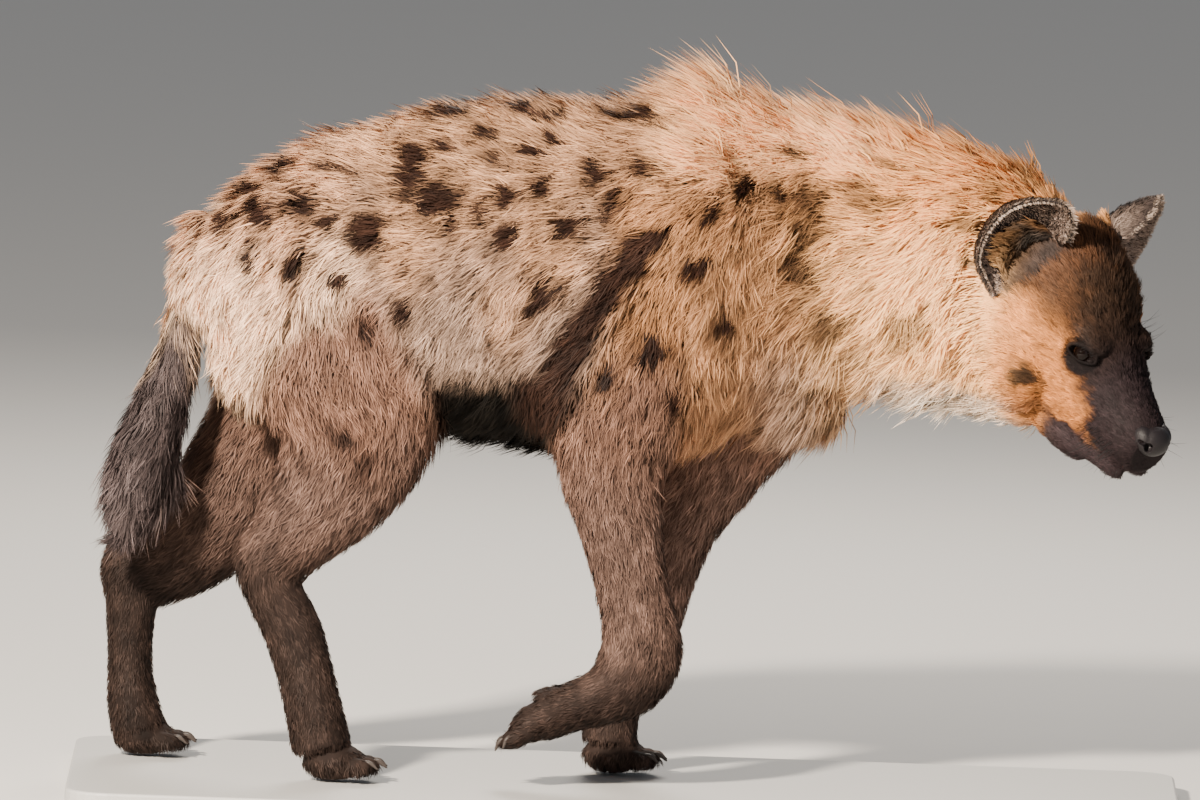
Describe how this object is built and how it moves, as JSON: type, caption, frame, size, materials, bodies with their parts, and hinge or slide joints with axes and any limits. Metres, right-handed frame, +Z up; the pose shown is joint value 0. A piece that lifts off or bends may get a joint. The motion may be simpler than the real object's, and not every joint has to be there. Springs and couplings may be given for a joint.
{
  "type": "spotted hyena",
  "caption": "Still, life-size spotted hyena walking with one forepaw lifted and its head low and turned, on a flat display base.",
  "frame": {"origin": "under the middle of the base, which is also the bottom centre of the object's box", "axes": "+X where the body points, +Y the animal's left, +Z up"},
  "size_m": [1.3, 0.56, 0.8785],
  "materials": {
    "coat_tan": "coarse sandy fur with dark brown spots",
    "coat_gold": "golden tan mane and face fur",
    "coat_brown": "short greyish brown fur",
    "coat_dark": "black-brown fur",
    "nose_pad": "moist black skin",
    "eye": "wet, very dark brown",
    "claw": "worn dark horn",
    "base": "satin grey paint on board"
  },
  "bodies": {
    "root": {"head": "coat_gold", "nose": "nose_pad", "ear_left": "coat_brown", "ear_right": "coat_brown", "eye_left": "eye", "eye_right": "eye", "neck": "coat_gold", "torso": "coat_tan", "tail": "coat_dark", "foreleg_right": "coat_brown", "foreleg_left": "coat_brown", "hindleg_right": "coat_brown", "hindleg_left": "coat_brown", "forepaw_right": "coat_dark", "forepaw_left": "coat_dark", "hindpaw_right": "coat_dark", "hindpaw_left": "coat_dark", "stand_base": "base"}
  },
  "joints": []
}
